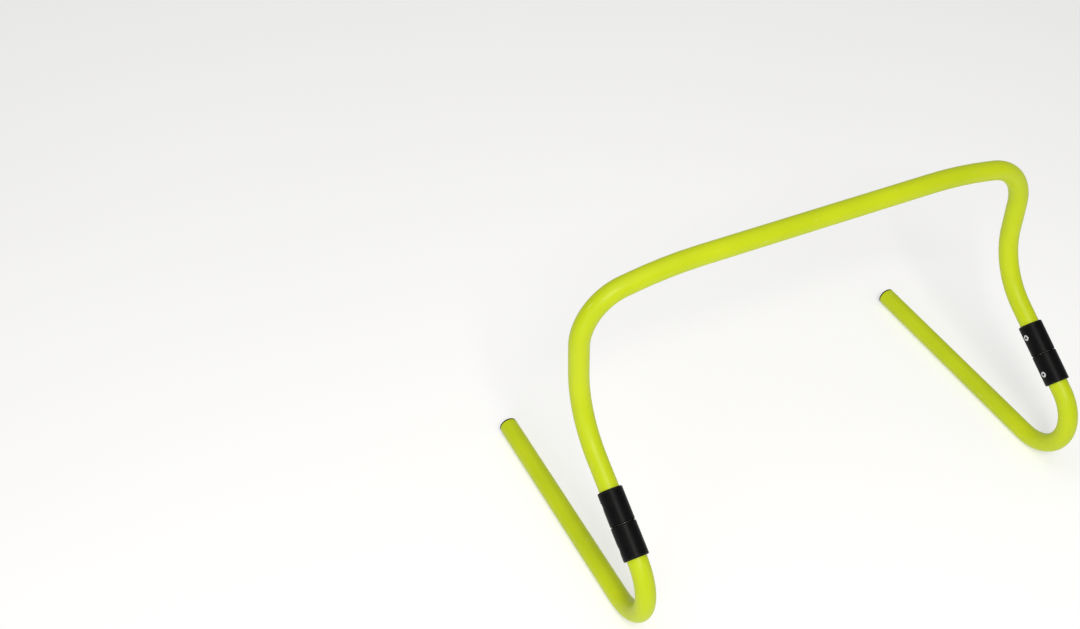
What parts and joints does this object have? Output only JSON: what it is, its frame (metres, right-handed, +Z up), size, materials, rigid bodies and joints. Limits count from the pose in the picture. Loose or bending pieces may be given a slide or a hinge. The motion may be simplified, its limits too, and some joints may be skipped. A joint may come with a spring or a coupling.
{
  "type": "agility hurdle",
  "caption": "Free-standing low agility hurdle: a bent plastic tube hoop on bent tube feet, each turning about its slanted leg in a two-part black swivel sleeve.",
  "frame": {"origin": "on the floor, at the centre of the footprint, straight below a point close to the middle of the bar", "axes": "+X along the bar towards the hurdle's right-hand leg, +Y towards the free ends of the feet, +Z up"},
  "size_m": [0.5119, 0.2901, 0.306],
  "materials": {
    "tube_plastic": "smooth semi-gloss fluorescent yellow-green plastic tube",
    "sleeve_plastic": "satin black moulded plastic",
    "plug_plastic": "matt black moulded plastic",
    "screw_zinc": "bright zinc plated",
    "pivot_steel": "zinc plated steel",
    "spring_steel": "plain spring steel",
    "washer_nylon": "natural nylon"
  },
  "bodies": {
    "hoop": {"hoop_tube": "tube_plastic", "left_upper_sleeve": "sleeve_plastic", "left_upper_screw": "screw_zinc", "left_pivot_bolt": "pivot_steel", "left_friction_washer": "washer_nylon", "left_thrust_washer": "pivot_steel", "left_spring_washer": "spring_steel", "left_lock_nut": "pivot_steel", "right_upper_sleeve": "sleeve_plastic", "right_upper_screw": "screw_zinc", "right_pivot_bolt": "pivot_steel", "right_friction_washer": "washer_nylon", "right_thrust_washer": "pivot_steel", "right_spring_washer": "spring_steel", "right_lock_nut": "pivot_steel"},
    "left_foot": {"left_lower_sleeve": "sleeve_plastic", "left_lower_screw": "screw_zinc", "left_foot_tube": "tube_plastic", "left_foot_plug": "plug_plastic"},
    "right_foot": {"right_lower_sleeve": "sleeve_plastic", "right_lower_screw": "screw_zinc", "right_foot_tube": "tube_plastic", "right_foot_plug": "plug_plastic"}
  },
  "joints": [
    {"name": "left_foot_swivel", "type": "hinge", "parent": "hoop", "child": "left_foot", "pos_m": [-0.244, -0.08733, 0.10804], "axis": [0, 0.848, 0.5299], "continuous": true},
    {"name": "right_foot_swivel", "type": "hinge", "parent": "hoop", "child": "right_foot", "pos_m": [0.244, -0.0797, 0.11281], "axis": [0, 0.848, 0.5299], "continuous": true}
  ]
}
